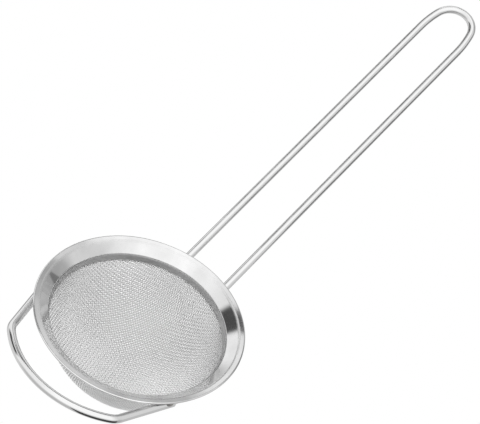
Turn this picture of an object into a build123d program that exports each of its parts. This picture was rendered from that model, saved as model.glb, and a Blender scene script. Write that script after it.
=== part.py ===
from build123d import *

import os
from math import acos, asin, cos, degrees, radians, sin, tan

# A hand-held tea strainer of stainless steel: a woven wire bowl held in a stamped
# rim, a long bent-wire handle, and a wire rest opposite the handle that sits on the
# edge of a cup or pot. Everything is welded together, so nothing moves.
#
# Millimetres. The origin is the centre of the rim, in the plane of its flat lip.
# +Z is up, out of the bowl's open mouth. +X points along the handle, and the part is
# the same on both sides of the XZ plane.

# Rim: one stamped ring of sheet, with its outer edge hemmed under for a safe lip
lip_radius = 40.0
sheet = 0.4
hem_thickness = 0.9
hem_width = 1.8
lip_bend_radius_at = 37.7
lip_bend_size = 1.3
funnel_foot_z = -3.6
funnel_foot_bend = 0.6
collar_foot_z = -7.2

# Woven wire bowl: a ball-shaped cap, with a short straight band at its edge
mesh_thickness = 0.35
bowl_radius = 33.6
bowl_centre_z = -1.9
band_top_z = -4.3
band_foot_z = -7.0

# Retaining ring: a thin band that clamps the bowl's edge against the rim's collar
ring_thickness = 0.25
ring_top_z = -4.1
ring_foot_z = -6.5

# Both wire pieces are bent from the same round wire
wire_diameter = 3.1

# Handle: a long U that rises from the rim and draws in just before its end loop
handle_slope = 25.5
handle_half_spacing = 9.6
handle_z_at_lip = -2.2
handle_under_rim = 6.2
handle_straight = 141.3
handle_side_arc = 44.6
handle_end_arc = 8.65

# Cup rest: two legs, two soft corners and one long arc around the rim
rest_slope = 5.4
rest_z_at_lip = -1.5
rest_corner_x = -41.7
rest_corner_y = 25.8
rest_tip_x = -52.5
rest_corner_bend = 7.0
rest_leg_angle = 16.5
rest_leg_length = 25.0

# Weld beads where the wires meet the underside of the rim
weld_radius = 1.9
handle_weld_inset = 5.4
rest_weld_inset = 2.6

# The clamped edge of the bowl is a cone that carries straight on from the ball
clamp_lean = asin((bowl_centre_z - band_foot_z) / bowl_radius)
wire_radius = wire_diameter / 2
hem_radius = hem_thickness / 2


def clamp_point(offset, z):
    """The (radius, z) point at height z, offset outward from the bowl's outer face."""
    reach = bowl_radius + offset + (z - bowl_centre_z) * sin(clamp_lean)
    return (reach / cos(clamp_lean), z)


def turned(section):
    """The solid of revolution about Z of a flat section drawn as (radius, height)."""
    return revolve(Plane.XZ * section, axis=Axis.Z)


def round_ended(line, thickness):
    """A strip of even thickness with rounded ends, centred on a line."""
    return make_face(offset(line, amount=thickness / 2))


def make_rim():
    """Hemmed lip, rounded bend, funnel-shaped flange and collar, all one sheet."""
    mid = sheet / 2
    sheet_line = FilletPolyline(
        (lip_radius - hem_radius, -mid),
        (lip_bend_radius_at, -mid),
        clamp_point(mid, funnel_foot_z),
        clamp_point(mid, collar_foot_z),
        radius=[lip_bend_size, funnel_foot_bend],
    )
    hem_line = Line(
        (lip_radius - hem_width, -hem_radius),
        (lip_radius - hem_radius, -hem_radius),
    )
    section = round_ended(sheet_line, sheet) + round_ended(hem_line, hem_thickness)
    return turned(section)


def make_mesh_bowl():
    """The woven cloth as a plain shell: a clamped band above a ball-shaped cap."""
    inner_radius = bowl_radius - mesh_thickness
    lean = degrees(clamp_lean)
    centre = (0, bowl_centre_z)
    outer_cap = CenterArc(centre, bowl_radius, -90, 90 - lean)
    inner_cap = CenterArc(centre, inner_radius, -90, 90 - lean)
    edges = [
        outer_cap,
        Line(outer_cap @ 1, clamp_point(0, band_top_z)),
        Line(clamp_point(0, band_top_z), clamp_point(-mesh_thickness, band_top_z)),
        Line(clamp_point(-mesh_thickness, band_top_z), inner_cap @ 1),
        inner_cap,
        Line(inner_cap @ 0, outer_cap @ 0),
    ]
    return turned(make_face(edges))


def make_retaining_ring():
    """A thin conical band with rounded edges, just inside the bowl's clamped edge."""
    mid = -mesh_thickness - ring_thickness / 2
    round_edge = ring_thickness / 2
    line = Line(
        clamp_point(mid, ring_foot_z + round_edge),
        clamp_point(mid, ring_top_z - round_edge),
    )
    return turned(round_ended(line, ring_thickness))


def bent_wire(path):
    """The wire that follows a path of straight runs joined by tangent arcs."""
    start = Plane(origin=path @ 0, z_dir=path % 0)
    return sweep(start * Circle(wire_radius), path=path)


def handle_plane():
    """X along the handle, Y across it, with its origin under the edge of the lip."""
    slope = radians(handle_slope)
    return Plane(
        origin=(lip_radius, 0, handle_z_at_lip),
        x_dir=(cos(slope), 0, sin(slope)),
        z_dir=(-sin(slope), 0, cos(slope)),
    )


def make_handle():
    """One wire: out along one side, round the end loop and back along the other."""
    half = handle_half_spacing
    turn = acos((handle_side_arc - half) / (handle_side_arc - handle_end_arc))
    loop_x = handle_straight + (handle_side_arc - handle_end_arc) * sin(turn)
    turn = degrees(turn)
    path = Wire([
        Line((-handle_under_rim, half), (handle_straight, half)),
        CenterArc((handle_straight, half - handle_side_arc), handle_side_arc, 90, -turn),
        CenterArc((loop_x, 0), handle_end_arc, 90 - turn, 2 * turn - 180),
        CenterArc((handle_straight, handle_side_arc - half), handle_side_arc, turn - 90, -turn),
        Line((handle_straight, -half), (-handle_under_rim, -half)),
    ])
    return bent_wire(handle_plane() * path)


def rest_plane():
    """X and Y near the row's own, tipped so that the rest rises away from the rim."""
    slope = radians(rest_slope)
    return Plane(
        origin=(0, 0, rest_z_at_lip - lip_radius * tan(slope)),
        x_dir=(cos(slope), 0, -sin(slope)),
        z_dir=(sin(slope), 0, cos(slope)),
    )


def rest_leg_point(inset, side):
    """A point on a leg's centre line, at a distance from the leg's cut end."""
    run = rest_leg_length - inset
    angle = radians(rest_leg_angle)
    x = rest_corner_x + run * cos(angle)
    y = rest_corner_y + run * sin(angle)
    return (x, side * y)


def make_cup_rest():
    """One wire: a leg, a soft corner, the long arc, the other corner and leg."""
    corners = [(rest_corner_x, rest_corner_y), (rest_corner_x, -rest_corner_y)]
    with BuildLine() as path:
        Line(rest_leg_point(0, 1), corners[0])
        ThreePointArc(corners[0], (rest_tip_x, 0), corners[1])
        Line(corners[1], rest_leg_point(0, -1))
        bends = path.vertices().filter_by_position(Axis.X, rest_corner_x - 1, rest_corner_x + 1)
        fillet(bends, radius=rest_corner_bend)
    return bent_wire(rest_plane() * path.wire())


def weld_bead(centre, rim, wire):
    """A ball of weld metal that fills the gap between the rim's underside and a wire."""
    ball = Pos(*centre) * Sphere(weld_radius)
    under_rim = (ball - rim).solids().sort_by(Axis.Z)[0]
    return (under_rim - wire).solids().sort_by(Axis.Z)[-1]


def make_welds(plane, points, rim, wire):
    """One bead over each listed point of a wire's centre line, on the wire's top."""
    beads = []
    for point in points:
        on_line = plane.from_local_coords((*point, wire_radius))
        beads.append(weld_bead(on_line, rim, wire))
    return Compound(beads)


def build():
    """Every node of the part, by name."""
    rim = make_rim()
    handle = make_handle()
    cup_rest = make_cup_rest()
    handle_points = [(-handle_weld_inset, side * handle_half_spacing) for side in (1, -1)]
    rest_points = [rest_leg_point(rest_weld_inset, side) for side in (1, -1)]
    return {
        "rim": rim,
        "mesh_bowl": make_mesh_bowl(),
        "retaining_ring": make_retaining_ring(),
        "handle": handle,
        "handle_welds": make_welds(handle_plane(), handle_points, rim, handle),
        "cup_rest": cup_rest,
        "cup_rest_welds": make_welds(rest_plane(), rest_points, rim, cup_rest),
    }


os.makedirs("parts", exist_ok=True)
for name, shape in build().items():
    export_step(shape, f"parts/{name}.step")
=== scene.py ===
from math import acos, asin, cos, degrees, pi, radians, sin, tan

import bpy
import numpy as np
from mathutils import Matrix, Vector


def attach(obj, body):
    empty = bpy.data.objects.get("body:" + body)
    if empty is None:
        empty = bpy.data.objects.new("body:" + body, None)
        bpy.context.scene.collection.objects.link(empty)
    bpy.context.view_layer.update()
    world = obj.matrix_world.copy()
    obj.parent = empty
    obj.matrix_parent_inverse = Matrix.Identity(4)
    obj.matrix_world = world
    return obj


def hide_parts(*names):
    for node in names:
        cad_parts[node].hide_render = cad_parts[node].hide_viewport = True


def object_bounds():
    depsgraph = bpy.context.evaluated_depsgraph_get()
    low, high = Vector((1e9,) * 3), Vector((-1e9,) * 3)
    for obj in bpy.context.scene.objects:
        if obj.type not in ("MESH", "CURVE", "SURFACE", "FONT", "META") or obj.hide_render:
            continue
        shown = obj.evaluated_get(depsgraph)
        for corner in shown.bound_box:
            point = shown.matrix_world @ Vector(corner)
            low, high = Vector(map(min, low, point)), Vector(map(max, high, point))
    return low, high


# The looks of a stainless steel tea strainer: a woven wire bowl in a stamped rim, a long
# bent-wire handle and a wire rest for the edge of a cup. The scene is in metres, in the
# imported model's frame. The part's dimensions below are in millimetres and degrees.

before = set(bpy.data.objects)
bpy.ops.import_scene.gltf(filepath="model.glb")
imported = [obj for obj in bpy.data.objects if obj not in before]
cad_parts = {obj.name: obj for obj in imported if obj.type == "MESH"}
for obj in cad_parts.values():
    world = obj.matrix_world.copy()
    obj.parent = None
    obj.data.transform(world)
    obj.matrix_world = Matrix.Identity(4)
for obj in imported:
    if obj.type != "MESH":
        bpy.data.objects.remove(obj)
cad_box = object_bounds()

MM = 0.001
BODY = "root"

# --- the part's dimensions

# Rim: one stamped ring of sheet, its outer edge hemmed under
lip_radius = 40.0
sheet = 0.4
hem_thickness = 0.9
hem_width = 1.8
lip_bend_radius_at = 37.8
lip_bend_z = -0.32
lip_bend_size = 1.3
funnel_foot_z = -3.6
funnel_foot_bend = 0.6
collar_foot_z = -7.2
rim_segments = 480
bend_step = 4

# The unevenness that stamping leaves: waves up and down, as the number round the rim and
# (size, phase). They turn with the radius, and go sideways by a share of their height
rim_waves = {2: (0.05, 0.4), 3: (0.04, 1.9), 5: (0.02, 3.0), 9: (0.008, 0.7)}
rim_wave_twist = 0.15
rim_wave_sideways = 0.3

# Woven bowl, and the ring that clamps its edge
mesh_thickness = 0.35
bowl_radius = 33.6
bowl_centre_z = -1.9
band_foot_z = -7.0
ring_thickness = 0.25
ring_top_z = -3.85
ring_foot_z = -6.1
ring_top_gap = 0.02
ring_segments = 360

# The wire cloth: two sets of wires, over and under each other
warp_pitch = 0.93
weft_pitch = 0.86
cloth_wire = 0.31
cloth_wave = 0.155
cloth_sides = 5
cloth_turn = -28.0
cloth_edge_z = -5.2
bowl_lean = 2.1
bowl_lean_azimuth = -50.8
bowl_lean_power = 1.5

# The net of the cloth reaches this many radii from the bowl's bottom, past the cut edge,
# and a wire with fewer points than this is left out
cloth_reach = 1.55
shortest_run = 4

# Handle: a long U of one wire
wire_diameter = 3.1
wire_sides = 40
handle_slope = 25.5
handle_half_spacing = 9.6
handle_z_at_lip = -2.2
handle_under_rim = 6.2
handle_straight = 141.3
handle_side_arc = 44.6
handle_end_arc = 8.65

# Cup rest: two legs, two soft corners and one long arc
rest_slope = 5.4
rest_z_at_lip = -1.5
rest_corner_x = -41.7
rest_corner_y = 25.8
rest_tip_x = -52.5
rest_corner_bend = 7.0
rest_leg_angle = 16.5
rest_leg_length = 25.0

# A wire's dressed end, ring by ring: distance from the cut, loss of radius, and place
# along the wire for its marks
dressed_end = ((0.0, 0.27, 0.0), (0.09, 0.105, 0.1), (0.3, 0.0, 0.3))

# The dull line along the lip's bend, full within the first distance from its middle and
# gone at the second
crease_radius = 37.65
crease_span = (0.3, 0.65)
crease_roughness = 0.24

# Texture: the span that holds most of a noise's values, how little the turned lines of the
# sheet change round the part, and how much the marks on drawn wire are drawn out
noise_span = (0.35, 0.65)
line_drift = 0.002
mark_stretch = 0.02

# --- the stage: metres, and degrees for every angle

# Where the main light would stand: the floor's shadow, the panels and the lights on the
# cloth are all placed by it
key_azimuth = -153.6
key_elevation = 46.8

# Floor, with the bowl's soft shadow and a small shade where the bowl touches it. Each
# shade is full within the first distance from its centre and gone at the second
floor_radius = 6.0
floor_gap = 0.0005
floor_sides = 64
floor_shade = 0.5
floor_shade_span = (0.018, 0.044)
touch_shade = 0.8
touch_shade_span = (0.002, 0.015)

# The soft panels that fan out from one direction: (bearing, brightness)
panels = (
    (0, 1.25), (16.5, 1.2), (19.5, 0.1), (35.5, 0.1), (38.5, 1.25), (62, 1.3), (75, 1.5),
    (110, 1.45), (128, 0.98), (150, 1.02), (158, 0.66), (172, 0.55), (180, 0.5), (192, 0.8),
    (215, 0.9), (235, 1.0), (262, 0.95), (280, 0.72), (308, 0.68), (322, 1.15), (348, 1.25),
)
brightest = 1.6

# Spans in the room. A direction is told by how far it points up (height), away from the
# main light (ahead) and to the left of that (across), each from -1 to 1. A panel's bearing
# is its angle round the fan's centre, which is given as ahead and across
fan_ahead = 0.689
fan_across = -0.018
gap_bearings = (43.2, 57.6)
gap_foot_heights = (0.15, 0.35)
gap_head_heights = (0.64, 0.69)
gap_head_across = (0.3, 0.45)
gap_fill = 0.95
table_heights = (-0.08, 0.16)
table_ahead = (0.3, 0.8)
table_near, table_far = 0.95, 0.5
low_heights = (-0.2, 0.14)
low_ahead = (-0.9, 0.6)
low_across = (-0.3, 0.1)
low_near, low_far = 0.75, 0.85
back_heights = (0.3, 0.5)
back_ahead = (-0.45, -0.1)
back_dim = 0.75
spot_radii = (0.08, 0.12)
spot_level = 0.06

# The lights on the cloth alone: (power, azimuth, elevation, width)
cloth_lights = {
    "top_light": (3.2, key_azimuth, 84, 140),
    "front_light": (1.3, key_azimuth, 12, 90),
    "bounce_light": (1.5, key_azimuth, -35, 60),
    "panel_light": (0.055, key_azimuth + 180, 46, 16),
}

# Dark cards near the part: brightness, and corners in millimetres
cards = {
    "card_left": (0.12, [(85, 150, 56), (280, 150, 90), (280, 150, 205), (85, 150, 100)]),
    "card_right": (0.22, [(100, -105, -36), (300, -105, -36), (300, -105, 123), (100, -105, 45)]),
    "card_front": (0.06, [(-62, -20, -35.7), (-439, -115, -35.7), (-114, -422, -35.7), (-42, -46, -35.7)]),
}

# White backdrop: a dome round the stage, from below the floor to overhead
backdrop_radius = 6
backdrop_foot = -20
backdrop_rise = 110
backdrop_rings = 12
backdrop_sides = 48

# Camera
camera_aim = Vector((0.07448, 0.01199, 0.00004))
camera_azimuth = -156.377
camera_elevation = 42.016
camera_distance = 0.63198
camera_roll = 22.631
camera_lens = 118.35
camera_sensor = 36.0

# The clamped edge of the bowl is a cone that carries straight on from the ball
clamp_lean = asin((bowl_centre_z - band_foot_z) / bowl_radius)


def clamp_point(offset, z):
    """The (radius, z) point at height z, offset outward from the bowl's outer face."""
    reach = bowl_radius + offset + (z - bowl_centre_z) * sin(clamp_lean)
    return (reach / cos(clamp_lean), z)


def direction_of(azimuth, elevation):
    """The unit vector at an azimuth and an elevation in degrees."""
    azimuth, elevation = radians(azimuth), radians(elevation)
    return Vector((cos(azimuth) * cos(elevation), sin(azimuth) * cos(elevation), sin(elevation)))


# --- meshes

def new_object(name, verts, faces, material, attributes=None):
    """A smooth mesh object from points in millimetres, riding on the body."""
    mesh = bpy.data.meshes.new(name)
    mesh.from_pydata((np.asarray(verts) * MM).tolist(), [], faces)
    mesh.validate()
    mesh.shade_smooth()
    for key, values in (attributes or {}).items():
        layer = mesh.attributes.new(key, "FLOAT_VECTOR", "POINT")
        layer.data.foreach_set("vector", np.asarray(values, np.float32).ravel())
    mesh.materials.append(material)
    obj = bpy.data.objects.new(name, mesh)
    bpy.context.scene.collection.objects.link(obj)
    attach(obj, BODY)
    return obj


def unit(vectors):
    """Each row made one long."""
    return vectors / np.linalg.norm(vectors, axis=1)[:, None]


def rounded(points, radii):
    """A polyline with its corners rounded, and each arc sampled finely."""
    out = [np.array(points[0], float)]
    for before, corner, after, radius in zip(points, points[1:], points[2:], radii):
        before, corner, after = (np.array(p, float) for p in (before, corner, after))
        a = (before - corner) / np.linalg.norm(before - corner)
        b = (after - corner) / np.linalg.norm(after - corner)
        half = acos(np.clip(a @ b, -1, 1)) / 2
        centre = corner + (a + b) / np.linalg.norm(a + b) * radius / sin(half)
        start = corner + a * radius / tan(half) - centre
        finish = corner + b * radius / tan(half) - centre
        sweep = acos(np.clip(start @ finish / radius ** 2, -1, 1))
        steps = max(4, round(degrees(sweep) / bend_step))
        for k in range(steps + 1):
            t = k / steps
            mix = (sin((1 - t) * sweep) * start + sin(t * sweep) * finish) / sin(sweep)
            out.append(centre + mix)
    out.append(np.array(points[-1], float))
    return np.array(out)


def round_cap(centre, along, across, half, steps=6):
    """The half-round end of a strip, without the two points that it shares with the sides."""
    angles = np.linspace(0, pi, steps + 2)[1:-1]
    return [centre + half * (np.cos(a) * across + np.sin(a) * along) for a in angles]


def thickened(line, half):
    """The closed outline of a strip along a line in the (radius, z) plane, ends rounded."""
    tangent = unit(np.gradient(line, axis=0))
    normal = np.stack([-tangent[:, 1], tangent[:, 0]], 1)
    left, right = line + normal * half, line - normal * half
    end = round_cap(line[-1], tangent[-1], normal[-1], half)
    start = round_cap(line[0], -tangent[0], -normal[0], half)
    return np.vstack([left, end, right[::-1], start])


def lathe(name, outline, segments, material, wobble=None):
    """The closed outline, as (radius, z) in millimetres, turned about Z."""
    angle = np.arange(segments) * 2 * pi / segments
    r = np.repeat(outline[None, :, 0], segments, 0)
    z = np.repeat(outline[None, :, 1], segments, 0)
    if wobble:
        dr, dz = wobble(angle[:, None], r, z)
        r, z = r + dr, z + dz
    verts = np.stack([r * np.cos(angle)[:, None], r * np.sin(angle)[:, None], z], -1)
    count = len(outline)
    faces = []
    for i in range(segments):
        j = (i + 1) % segments
        for k in range(count):
            m = (k + 1) % count
            faces.append((i * count + k, i * count + m, j * count + m, j * count + k))
    return new_object(name, verts.reshape(-1, 3), faces, material)


def arc_points(centre, radius, start, sweep, step):
    """Points on an arc in a plane; angles in degrees."""
    n = max(2, round(abs(sweep) / step))
    angles = np.radians(start + sweep * np.arange(n + 1) / n)
    return np.stack([centre[0] + radius * np.cos(angles), centre[1] + radius * np.sin(angles)], 1)


def run_points(a, b, step):
    """Points on a straight run, both ends included."""
    a, b = np.array(a, float), np.array(b, float)
    n = max(1, round(np.linalg.norm(b - a) / step))
    return a + (b - a) * np.arange(n + 1)[:, None] / n


def joined(parts):
    """Runs and arcs put end to end, without the points that they share."""
    return np.vstack([parts[0]] + [p[1:] for p in parts[1:]])


def tipped(flat, origin, x_dir):
    """A path drawn as (x, y), laid in a plane that is tipped about Y."""
    return np.array(origin) + flat[:, :1] * x_dir + flat[:, 1:] * np.array([0, 1, 0])


def wire_object(name, path, up):
    """A round wire along a flat path, with dressed ends; up is square to the path's plane."""
    radius = wire_diameter / 2
    tangent = unit(np.gradient(path, axis=0))
    side = np.cross(tangent, np.broadcast_to(up, path.shape))
    length = np.concatenate([[0], np.cumsum(np.linalg.norm(np.diff(path, axis=0), axis=1))])
    last = len(path) - 1

    # each ring: centre, the path point whose directions it takes, radius, place along the wire
    rings = []
    for off, loss, place in dressed_end:
        rings.append((path[0] + tangent[0] * off, 0, radius - loss, place))
    for k in range(1, last):
        rings.append((path[k], k, radius, length[k]))
    for off, loss, place in reversed(dressed_end):
        rings.append((path[last] - tangent[last] * off, last, radius - loss, length[last] - place))

    verts, marks, faces = [], [], []
    for centre, k, r, place in rings:
        for a in np.arange(wire_sides) * 2 * pi / wire_sides:
            verts.append(centre + r * (cos(a) * up + sin(a) * side[k]))
            marks.append((radius * cos(a), radius * sin(a), place))
    for i in range(len(rings) - 1):
        here, there = i * wire_sides, (i + 1) * wire_sides
        for k in range(wire_sides):
            m = (k + 1) % wire_sides
            faces.append((here + k, here + m, there + m, there + k))
    faces.append(tuple(range(wire_sides))[::-1])
    faces.append(tuple(range(len(verts) - wire_sides, len(verts))))
    obj = new_object(name, verts, faces, wire_steel, {"wire_co": marks})
    for face in obj.data.polygons:
        if len(face.vertices) > 4:
            face.use_smooth = False
    return obj


# --- the woven bowl

def cloth_net(radius, pitch_u, pitch_v, count):
    """The crossings of the cloth on a ball: a net of two wire sets with fixed steps.

    The quarter with both steps positive, as points about the ball's centre, the pole
    at -Z. Each new crossing is one step away from each of its two neighbours."""
    net = np.full((count, count, 3), np.nan)
    turn_u = 2 * asin(pitch_u / 2 / radius)
    turn_v = 2 * asin(pitch_v / 2 / radius)
    for k in range(count):
        net[k, 0] = (radius * sin(k * turn_u), 0, -radius * cos(k * turn_u))
        net[0, k] = (0, radius * sin(k * turn_v), -radius * cos(k * turn_v))
    for i in range(1, count):
        for j in range(1, count):
            p, q, old = net[i - 1, j], net[i, j - 1], net[i - 1, j - 1]
            c = p @ q
            d1, d2 = radius ** 2 - pitch_u ** 2 / 2, radius ** 2 - pitch_v ** 2 / 2
            det = radius ** 4 - c ** 2
            base = p * (d1 * radius ** 2 - d2 * c) / det + q * (d2 * radius ** 2 - d1 * c) / det
            normal = np.cross(p, q)
            height = radius ** 2 - base @ base
            if not height > 0:
                continue
            step = normal * np.sqrt(height / (normal @ normal))
            first, second = base + step, base - step
            far = np.linalg.norm(first - old) > np.linalg.norm(second - old)
            net[i, j] = first if far else second
    return net


def cut_at_edge(inside, outside):
    """Where a wire between two crossings meets the height at which the cloth is cut."""
    share = (cloth_edge_z - bowl_centre_z - inside[2]) / (outside[2] - inside[2])
    point = inside + (outside - inside) * share
    return point * np.linalg.norm(inside) / np.linalg.norm(point)


def cloth_wires(along_u):
    """Each wire of one set, as its points with +1 over, -1 under or 0 at a cut end."""
    radius = bowl_radius - mesh_thickness / 2
    count = int(radius * cloth_reach / min(warp_pitch, weft_pitch)) + 1
    quarter = cloth_net(radius, warp_pitch, weft_pitch, count)
    turn = np.array(Matrix.Rotation(radians(cloth_turn), 3, "Z"))
    wires = []
    span = range(-count + 1, count)
    for fixed in span:
        run, inner, outer = [], None, None
        for moving in span:
            i, j = (moving, fixed) if along_u else (fixed, moving)
            p = quarter[abs(i), abs(j)] * (1 if i >= 0 else -1, 1 if j >= 0 else -1, 1)
            known = not np.isnan(p[0])
            inside = known and p[2] + bowl_centre_z <= cloth_edge_z
            if inside:
                if not run and outer is not None:
                    run.append((turn @ cut_at_edge(p, outer), 0))
                over = 1 if (i + j) % 2 == 0 else -1
                run.append((turn @ p, over if along_u else -over))
                inner = p
            elif run:
                if known:
                    run.append((turn @ cut_at_edge(inner, p), 0))
                break
            elif known:
                outer = p
        if len(run) >= shortest_run:
            wires.append(run)
    return wires


def lean(points):
    """The bowl's own small lean: its bottom sits to one side of the rim's centre."""
    whole_depth = band_foot_z + bowl_radius - bowl_centre_z
    depth = np.clip((band_foot_z - points[:, 2]) / whole_depth, 0, 1)
    shift = bowl_lean * depth ** bowl_lean_power
    azimuth = radians(bowl_lean_azimuth)
    out = points.copy()
    out[:, 0] += shift * cos(azimuth)
    out[:, 1] += shift * sin(azimuth)
    return out


def cloth_object(name, along_u, material):
    """One set of the cloth's wires, each bent over and under the other set."""
    radius = bowl_radius - mesh_thickness / 2
    sides = cloth_sides
    angle = np.arange(sides) * 2 * pi / sides
    verts, weave, faces, start = [], [], [], 0
    for run in cloth_wires(along_u):
        knots = np.array([p for p, _ in run])
        over = np.array([s for _, s in run], float)
        middles = unit((knots[1:] + knots[:-1]) / 2) * radius
        line = np.empty((len(knots) * 2 - 1, 3))
        line[0::2], line[1::2] = knots, middles
        height = np.zeros(len(line))
        height[0::2] = over
        outward = unit(line)
        line = line + outward * cloth_wave * height[:, None]
        tangent = unit(np.gradient(line, axis=0))
        side = unit(np.cross(tangent, outward))
        up = np.cross(side, tangent)
        ring = np.cos(angle)[None, :, None] * up[:, None] + np.sin(angle)[None, :, None] * side[:, None]
        tube = (line[:, None] + ring * cloth_wire / 2).reshape(-1, 3)
        tube[:, 2] += bowl_centre_z
        verts.append(lean(tube))
        # how far each point stands out of the weave, its place along the wire, its angle
        n = len(line)
        proud = height[:, None] * np.cos(angle)
        place = np.broadcast_to(np.arange(n)[:, None], proud.shape)
        about = np.broadcast_to(angle, proud.shape)
        weave.append(np.stack([proud, place, about], -1).reshape(-1, 3))
        base = start + np.arange(n - 1)[:, None] * sides
        k = np.arange(sides)[None]
        m = (k + 1) % sides
        quads = np.stack([base + k, base + m, base + sides + m, base + sides + k], -1)
        faces += quads.reshape(-1, 4).tolist()
        faces.append(list(range(start, start + sides))[::-1])
        faces.append(list(range(start + (n - 1) * sides, start + n * sides)))
        start += n * sides
    return new_object(name, np.vstack(verts), faces, material, {"weave": np.vstack(weave)})


# --- shader nodes

def feed(tree, socket, value):
    """Give an input a plain value, or link it from another node's output."""
    if isinstance(value, bpy.types.NodeSocket):
        tree.links.new(value, socket)
    else:
        socket.default_value = value


def math_node(tree, operation, *inputs):
    """The result of one sum."""
    node = tree.nodes.new("ShaderNodeMath")
    node.operation = operation
    for socket, value in zip(node.inputs, inputs):
        feed(tree, socket, value)
    return node.outputs["Value"]


def map_range(tree, value, span, at_low, at_high, kind="LINEAR"):
    """From at_low to at_high as the value goes through the span, and steady beyond it."""
    node = tree.nodes.new("ShaderNodeMapRange")
    node.interpolation_type = kind
    feed(tree, node.inputs["Value"], value)
    feed(tree, node.inputs["From Min"], span[0])
    feed(tree, node.inputs["From Max"], span[1])
    feed(tree, node.inputs["To Min"], at_low)
    feed(tree, node.inputs["To Max"], at_high)
    return node.outputs["Result"]


def noise_value(tree, vector, scale, detail=2):
    """Soft random patches."""
    node = tree.nodes.new("ShaderNodeTexNoise")
    node.inputs["Scale"].default_value = scale
    node.inputs["Detail"].default_value = detail
    tree.links.new(vector, node.inputs["Vector"])
    return node.outputs["Fac"]


def two_tones(tree, value, low, high):
    """A colour between two, each given with its own place on the ramp."""
    node = tree.nodes.new("ShaderNodeValToRGB")
    for stop, (place, colour) in zip(node.color_ramp.elements, (low, high)):
        stop.position = place
        stop.color = (*colour, 1)
    tree.links.new(value, node.inputs["Fac"])
    return node.outputs["Color"]


def bumped(tree, height, strength, distance, normal=None):
    """The surface's direction with a bump, on top of an earlier one if given."""
    node = tree.nodes.new("ShaderNodeBump")
    node.inputs["Strength"].default_value = strength
    node.inputs["Distance"].default_value = distance
    tree.links.new(height, node.inputs["Height"])
    if normal is not None:
        tree.links.new(normal, node.inputs["Normal"])
    return node.outputs["Normal"]


def vector_node(tree, operation, first, second=None):
    """The result of one vector sum, as its node."""
    node = tree.nodes.new("ShaderNodeVectorMath")
    node.operation = operation
    feed(tree, node.inputs[0], first)
    if second is not None:
        feed(tree, node.inputs[1], second)
    return node


def position(tree):
    """The point's place on the object, in metres."""
    return tree.nodes.new("ShaderNodeTexCoord").outputs["Object"]


def stored(tree, name):
    """A value that the mesh carries at each of its points."""
    node = tree.nodes.new("ShaderNodeAttribute")
    node.attribute_name = name
    return node.outputs["Vector"]


def split_up(tree, vector):
    """The three parts of a vector."""
    node = tree.nodes.new("ShaderNodeSeparateXYZ")
    tree.links.new(vector, node.inputs[0])
    return node.outputs


def grey(value):
    """A colour with no tint."""
    return (value, value, value)


# --- materials

def steel(name, colour, roughness):
    """A bare steel material, its node tree and its shader, ready for detail."""
    mat = bpy.data.materials.new(name)
    mat.use_nodes = True
    shader = mat.node_tree.nodes["Principled BSDF"]
    shader.inputs["Base Color"].default_value = (*colour, 1)
    shader.inputs["Metallic"].default_value = 1.0
    shader.inputs["Roughness"].default_value = roughness
    return mat, mat.node_tree, shader


def polished_sheet(name, tone, smoothest, roughest):
    """Stamped and polished sheet: fine turned lines, cloudy polish and soft waves."""
    mat, tree, shader = steel(name, grey(tone), smoothest)
    shader.inputs["Anisotropic"].default_value = 0.5
    turned = tree.nodes.new("ShaderNodeTangent")
    turned.direction_type = "RADIAL"
    turned.axis = "Z"
    tree.links.new(turned.outputs["Tangent"], shader.inputs["Tangent"])

    # Radius, height and angle, for lines that run round the part
    where = position(tree)
    x, y, z = split_up(tree, where)
    flat = vector_node(tree, "MULTIPLY", where, (1, 1, 0)).outputs["Vector"]
    radius = vector_node(tree, "LENGTH", flat).outputs["Value"]
    angle = math_node(tree, "ARCTAN2", y, x)
    turned_place = tree.nodes.new("ShaderNodeCombineXYZ")
    feed(tree, turned_place.inputs["X"], radius)
    feed(tree, turned_place.inputs["Y"], z)
    feed(tree, turned_place.inputs["Z"], math_node(tree, "MULTIPLY", angle, line_drift))
    lines = noise_value(tree, turned_place.outputs["Vector"], scale=2500, detail=3)

    cloud = noise_value(tree, where, scale=90, detail=4)
    darker, lighter = grey(tone * 0.9), grey(min(1, tone * 1.08))
    colour = two_tones(tree, cloud, (0.32, darker), (0.68, lighter))
    tree.links.new(colour, shader.inputs["Base Color"])

    # The bend between lip and funnel is duller, from the press
    rough = map_range(tree, cloud, noise_span, smoothest, roughest)
    off_bend = math_node(tree, "SUBTRACT", radius, crease_radius * MM)
    off_bend = math_node(tree, "ABSOLUTE", off_bend)
    span = [distance * MM for distance in crease_span]
    rough = map_range(tree, off_bend, span, crease_roughness, rough, "SMOOTHSTEP")
    tree.links.new(rough, shader.inputs["Roughness"])

    waves = noise_value(tree, where, scale=60, detail=1)
    waved = bumped(tree, waves, strength=1.0, distance=0.00016)
    lined = bumped(tree, lines, strength=0.3, distance=0.000004, normal=waved)
    tree.links.new(lined, shader.inputs["Normal"])
    return mat


def drawn_wire(name, tone, smoothest, roughest):
    """Bright drawn wire: fine marks along its length and a cloudy polish."""
    mat, tree, shader = steel(name, grey(tone), smoothest)
    stretched = vector_node(tree, "MULTIPLY", stored(tree, "wire_co"), (1, 1, mark_stretch))
    marks = noise_value(tree, stretched.outputs["Vector"], scale=6, detail=4)
    rough = map_range(tree, marks, noise_span, smoothest, roughest)
    tree.links.new(rough, shader.inputs["Roughness"])
    marked = bumped(tree, marks, strength=0.5, distance=0.00003)
    tree.links.new(marked, shader.inputs["Normal"])
    return mat


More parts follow.
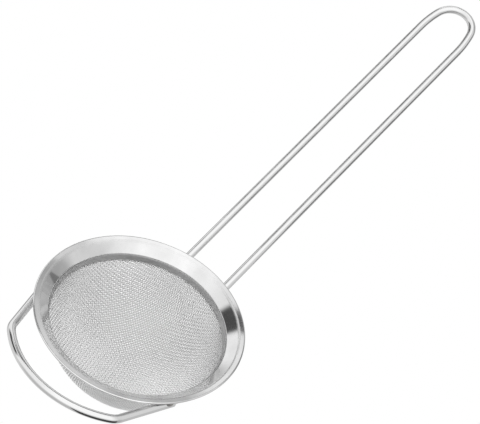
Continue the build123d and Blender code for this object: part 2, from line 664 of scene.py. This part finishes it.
def cloth_steel(name, shaded_tone, bright, roughness):
    """The fine wires of the cloth: bright where they stand proud, with painted shade that darkens them in
    the crossings, where they pass under each other.
    """
    mat, tree, shader = steel(name, grey(bright), roughness)
    proud, _, about = split_up(tree, stored(tree, "weave"))
    # The side of each wire that faces out of the bowl is darker than the rest, on top of the painted shade
    # of the crossings
    outward = math_node(tree, "MAXIMUM", math_node(tree, "COSINE", about), 0.5)
    crossing_shade = math_node(tree, "MULTIPLY_ADD", outward, -0.5, proud)
    crossing_shade = map_range(tree, crossing_shade, (-1, 1), 0, 1)
    # Painted shade: the darker tone in the crossings where the wires pass under each other, the bright one
    # where they stand proud
    colour = two_tones(tree, crossing_shade, (0.3, grey(shaded_tone)), (0.9, grey(bright)))
    tree.links.new(colour, shader.inputs["Base Color"])
    cloud = noise_value(tree, position(tree), scale=400)
    rough = map_range(tree, cloud, (0, 1), roughness - 0.1, roughness + 0.1)
    tree.links.new(rough, shader.inputs["Roughness"])
    return mat


def weld_metal(name):
    """Dull weld beads, tinted by heat."""
    mat, tree, shader = steel(name, (0.45, 0.44, 0.42), 0.4)
    lumps = noise_value(tree, position(tree), scale=900, detail=3)
    tint = two_tones(tree, lumps, (0, (0.32, 0.29, 0.25)), (1, (0.55, 0.55, 0.56)))
    tree.links.new(tint, shader.inputs["Base Color"])
    lumpy = bumped(tree, lumps, strength=0.6, distance=0.0002)
    tree.links.new(lumpy, shader.inputs["Normal"])
    return mat


rim_steel = polished_sheet("rim_steel", 0.78, smoothest=0.05, roughest=0.1)
ring_steel = polished_sheet("ring_steel", 0.48, smoothest=0.34, roughest=0.4)
wire_steel = drawn_wire("wire_steel", 0.8, smoothest=0.04, roughest=0.1)
# The weft's bright tone is lower than the warp's: the same steel, with painted shade for the light that
# falls differently on the two sets of wires
warp_steel = cloth_steel("warp_steel", shaded_tone=0.5, bright=1.0, roughness=0.5)
weft_steel = cloth_steel("weft_steel", shaded_tone=0.5, bright=0.86, roughness=0.5)
weld_steel = weld_metal("weld_steel")


# --- rim and retaining ring

def rim_wobble(angle, r, z):
    """The small unevenness that stamping leaves: hundredths of a millimetre."""
    up = np.zeros_like(r)
    for count, (size, phase) in rim_waves.items():
        up = up + size * np.sin(count * angle + phase + rim_wave_twist * (r - lip_radius))
    return up * rim_wave_sideways, up


mid = sheet / 2
# the fold's two bends leave a very short straight run between them
fold_bend = (hem_thickness - sheet) / 2 * 0.99
sheet_line = rounded(
    [
        (lip_radius - hem_width, mid - hem_thickness),
        (lip_radius - mid, mid - hem_thickness),
        (lip_radius - mid, -mid),
        (lip_bend_radius_at, lip_bend_z - mid),
        clamp_point(mid, funnel_foot_z),
        clamp_point(mid, collar_foot_z),
    ],
    [fold_bend, fold_bend, lip_bend_size, funnel_foot_bend],
)
rim = lathe("rim_sheet", thickened(sheet_line, mid), rim_segments, rim_steel, rim_wobble)
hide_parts("rim")

ring_half = ring_thickness / 2
ring_line = run_points(
    clamp_point(-mesh_thickness - ring_half, ring_foot_z + ring_half),
    clamp_point(-ring_half - ring_top_gap, ring_top_z - ring_half),
    step=0.5,
)
ring = lathe("clamp_ring", thickened(ring_line, ring_half), ring_segments, ring_steel)
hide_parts("retaining_ring")

# --- the cloth

cloths = []
for name, along_u, finish in (("cloth_warp", True, warp_steel), ("cloth_weft", False, weft_steel)):
    cloth = cloth_object(name, along_u, finish)
    cloths.append(cloth)
    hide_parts("mesh_bowl")

# --- handle

half = handle_half_spacing
side_y = handle_side_arc - half
draw_in = acos(side_y / (handle_side_arc - handle_end_arc))
loop_x = handle_straight + (handle_side_arc - handle_end_arc) * sin(draw_in)
draw_in = degrees(draw_in)
handle_flat = joined([
    run_points((-handle_under_rim, half), (handle_straight, half), step=5),
    arc_points((handle_straight, -side_y), handle_side_arc, 90, -draw_in, step=1.5),
    arc_points((loop_x, 0), handle_end_arc, 90 - draw_in, 2 * draw_in - 180, step=4),
    arc_points((handle_straight, side_y), handle_side_arc, draw_in - 90, -draw_in, step=1.5),
    run_points((handle_straight, -half), (-handle_under_rim, -half), step=5),
])
slope = radians(handle_slope)
handle_x = np.array([cos(slope), 0, sin(slope)])
handle_up = np.array([-sin(slope), 0, cos(slope)])
handle_path = tipped(handle_flat, (lip_radius, 0, handle_z_at_lip), handle_x)
handle = wire_object("handle_wire", handle_path, handle_up)
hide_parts("handle")

# --- cup rest

def rest_half():
    """The rest's outline from one leg's cut end to the tip of the arc."""
    corner = np.array([rest_corner_x, rest_corner_y])
    leg = np.array([cos(radians(rest_leg_angle)), sin(radians(rest_leg_angle))])
    sagitta = rest_corner_x - rest_tip_x
    arc_radius = (rest_corner_y ** 2 + sagitta ** 2) / (2 * sagitta)
    arc_centre = np.array([rest_tip_x + arc_radius, 0.0])
    # the centre of the corner's bend: off the leg's line and inside the long arc
    inward = np.array([leg[1], -leg[0]])
    reach = arc_radius - rest_corner_bend
    foot = corner + inward * rest_corner_bend - arc_centre
    root = np.sqrt((foot @ leg) ** 2 - foot @ foot + reach ** 2)
    shifts = -(foot @ leg) + np.array([-1, 1]) * root
    shift = shifts[np.argmin(np.abs(shifts))]
    centre = corner + inward * rest_corner_bend + leg * shift
    from_arc = centre - arc_centre
    start = degrees(np.arctan2(-inward[1], -inward[0]))
    touch = degrees(np.arctan2(from_arc[1], from_arc[0])) % 360
    return joined([
        run_points(corner + leg * rest_leg_length, centre - inward * rest_corner_bend, step=2),
        arc_points(centre, rest_corner_bend, start, touch - start, step=4),
        arc_points(arc_centre, arc_radius, touch, 180 - touch, step=1),
    ])


rest_flat = rest_half()
rest_flat = np.vstack([rest_flat, rest_flat[-2::-1] * (1, -1)])
slope = radians(rest_slope)
rest_x = np.array([cos(slope), 0, -sin(slope)])
rest_up = np.array([sin(slope), 0, cos(slope)])
rest_path = tipped(rest_flat, (0, 0, rest_z_at_lip - lip_radius * tan(slope)), rest_x)
cup_rest = wire_object("rest_wire", rest_path, rest_up)
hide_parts("cup_rest")

# --- weld beads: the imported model's own, in weld metal

for node in ("handle_welds", "cup_rest_welds"):
    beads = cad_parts[node]
    beads.data.materials.clear()
    beads.data.materials.append(weld_steel)


# --- stage

def stage_object(name, verts, faces, material):
    """A mesh that belongs to the stage and not to the part, in metres."""
    mesh = bpy.data.meshes.new(name)
    mesh.from_pydata(verts, [], faces)
    mesh.materials.append(material)
    obj = bpy.data.objects.new(name, mesh)
    bpy.context.scene.collection.objects.link(obj)
    return obj


def glow(name, strength):
    """A material that gives off even light and reflects none."""
    mat = bpy.data.materials.new(name)
    mat.use_nodes = True
    tree = mat.node_tree
    tree.nodes.clear()
    emission = tree.nodes.new("ShaderNodeEmission")
    emission.inputs["Strength"].default_value = strength
    output = tree.nodes.new("ShaderNodeOutputMaterial")
    tree.links.new(emission.outputs["Emission"], output.inputs["Surface"])
    return mat


def floor_material(z):
    """White, with the bowl's soft shadow and a shade where the bowl touches the floor."""
    mat = bpy.data.materials.new("floor")
    mat.use_nodes = True
    tree = mat.node_tree
    shader = tree.nodes["Principled BSDF"]
    shader.inputs["Base Color"].default_value = (0, 0, 0, 1)
    shader.inputs["Specular IOR Level"].default_value = 0
    shader.inputs["Emission Color"].default_value = (1, 1, 1, 1)
    where = position(tree)
    throw = z / tan(radians(key_elevation))
    azimuth = radians(key_azimuth)
    shadow = (throw * cos(azimuth), throw * sin(azimuth), z)
    strengths = []
    for centre, span, shade in (
        (shadow, floor_shade_span, floor_shade),
        ((0, 0, z), touch_shade_span, touch_shade),
    ):
        away = vector_node(tree, "DISTANCE", where, centre).outputs["Value"]
        strengths.append(map_range(tree, away, span, shade, 1.0, "SMOOTHSTEP"))
    strength = math_node(tree, "MULTIPLY", *strengths)
    tree.links.new(strength, shader.inputs["Emission Strength"])
    return mat


floor_z = cad_box[0].z - floor_gap
floor_ring = []
for k in range(floor_sides):
    turn = k * 2 * pi / floor_sides
    floor_ring.append((floor_radius * cos(turn), floor_radius * sin(turn), floor_z))
floor = stage_object("floor", floor_ring, [tuple(range(floor_sides))], floor_material(floor_z))
floor.visible_glossy = False
floor.visible_shadow = False

# The room: soft panels with dark gaps between them, as brightness by direction
world = bpy.data.worlds.new("studio")
bpy.context.scene.world = world
world.use_nodes = True
room = world.node_tree
room.nodes.clear()
direction = room.nodes.new("ShaderNodeTexCoord").outputs["Generated"]


def towards(x, y, z):
    """How far the direction points along an axis."""
    return vector_node(room, "DOT_PRODUCT", direction, (x, y, z)).outputs["Value"]


def between(value, span, at_low, at_high):
    """From at_low to at_high, smoothly, as the value goes through the span."""
    return map_range(room, value, span, at_low, at_high, "SMOOTHSTEP")


def times(first, second):
    """Two values multiplied."""
    return math_node(room, "MULTIPLY", first, second)


# The panels fan out from one direction. Ahead points away from the main light, and across
# to the left of that
fan = radians(key_azimuth + 180)
ahead = towards(cos(fan), sin(fan), 0)
across = towards(-sin(fan), cos(fan), 0)
height = towards(0, 0, 1)
to_fan = math_node(room, "SUBTRACT", fan_ahead, ahead)
off_across = math_node(room, "SUBTRACT", across, fan_across)
bearing = math_node(room, "ARCTAN2", to_fan, off_across)
bearing = math_node(room, "WRAP", bearing, 2 * pi, 0)
bearing = math_node(room, "DIVIDE", bearing, 2 * pi)
fanned = room.nodes.new("ShaderNodeValToRGB")
room.links.new(bearing, fanned.inputs["Fac"])
ramp = fanned.color_ramp
for k, (degree, brightness) in enumerate(panels):
    stop = ramp.elements[k] if k < 2 else ramp.elements.new(degree / 360)
    stop.position = degree / 360
    stop.color = (*grey(brightness / brightest), 1)
level = times(fanned.outputs["Color"], brightest)

# The dark gap on the left is short: it is filled near the table, and high up on its outer side
gap_foot = between(height, gap_foot_heights, gap_fill, 0)
gap_head = between(height, gap_head_heights, 0, gap_fill)
gap_head = times(gap_head, between(across, gap_head_across, 0, 1))
gap_ends = math_node(room, "ADD", gap_foot, gap_head)
gap_turns = [degree / 360 for degree in gap_bearings]
gap_ends = times(gap_ends, between(bearing, gap_turns, 1, 0))
level = math_node(room, "MAXIMUM", level, gap_ends)

# Below the panels is the table, dimmer ahead, and everything low is dimmer on the right
table = between(ahead, table_ahead, table_near, table_far)
level = between(height, table_heights, table, level)
low = between(ahead, low_ahead, low_near, low_far)
low = between(across, low_across, low, 1)
level = times(level, between(height, low_heights, low, 1))

# The camera's side of the room is dimmer near the ground
dim = between(ahead, back_ahead, back_dim, 1)
level = times(level, between(height, back_heights, dim, 1))

# A dark spot where the panels meet, which draws a dark line along the rest
off_ahead = math_node(room, "SUBTRACT", ahead, fan_ahead)
off_fan = math_node(room, "ADD", times(off_ahead, off_ahead), times(off_across, off_across))
off_fan = math_node(room, "SQRT", off_fan)
level = times(level, between(off_fan, spot_radii, spot_level, 1))

background = room.nodes.new("ShaderNodeBackground")
room.links.new(level, background.inputs["Strength"])
room_output = room.nodes.new("ShaderNodeOutputWorld")
room.links.new(background.outputs["Background"], room_output.inputs["Surface"])

# The lights on the cloth are for the glint on each small wire. The last one stands for the
# panel that the dark spot hides, which only the polished pieces are to lose
lit = bpy.data.collections.new("lit_cloth")
for cloth in cloths:
    lit.objects.link(cloth)
for name, (power, azimuth, elevation, width) in cloth_lights.items():
    data = bpy.data.lights.new(name, "SUN")
    data.energy = power
    data.angle = radians(width)
    light = bpy.data.objects.new(name, data)
    bpy.context.scene.collection.objects.link(light)
    light.rotation_mode = "QUATERNION"
    light.rotation_quaternion = direction_of(azimuth, elevation).to_track_quat("Z", "Y")
    light.light_linking.receiver_collection = lit

# Dark cards near the object, seen only in reflections, give the bright wires darker edges
for name, (brightness, corners) in cards.items():
    verts = [Vector(corner) * MM for corner in corners]
    card = stage_object(name, verts, [tuple(range(len(verts)))], glow(name, brightness))
    card.visible_camera = False
    card.visible_diffuse = False
    card.visible_shadow = False

# A white backdrop that only the camera sees
dome_verts, dome_faces = [], []
for i in range(backdrop_rings + 1):
    elevation = radians(backdrop_foot + backdrop_rise * i / backdrop_rings)
    reach, rise = backdrop_radius * cos(elevation), backdrop_radius * sin(elevation)
    for k in range(backdrop_sides):
        turn = k * 2 * pi / backdrop_sides
        dome_verts.append((reach * cos(turn), reach * sin(turn), rise))
for i in range(backdrop_rings):
    here, above = i * backdrop_sides, (i + 1) * backdrop_sides
    for k in range(backdrop_sides):
        m = (k + 1) % backdrop_sides
        dome_faces.append((here + k, above + k, above + m, here + m))
backdrop = stage_object("backdrop", dome_verts, dome_faces, glow("backdrop", 1.0))
backdrop.visible_glossy = False
backdrop.visible_diffuse = False
backdrop.visible_shadow = False

# --- camera

back = direction_of(camera_azimuth, camera_elevation)
cam_data = bpy.data.cameras.new("camera")
cam_data.lens = camera_lens
cam_data.sensor_width = camera_sensor
cam_data.clip_start = 0.01
cam_data.clip_end = 30.0
camera = bpy.data.objects.new("camera", cam_data)
bpy.context.scene.collection.objects.link(camera)
camera.rotation_mode = "QUATERNION"
camera.location = camera_aim + back * camera_distance
aim_turn = (-back).to_track_quat("-Z", "Y")
roll_turn = Matrix.Rotation(radians(camera_roll), 4, back).to_quaternion()
camera.rotation_quaternion = roll_turn @ aim_turn
bpy.context.scene.camera = camera
bpy.context.scene.view_settings.view_transform = "Standard"
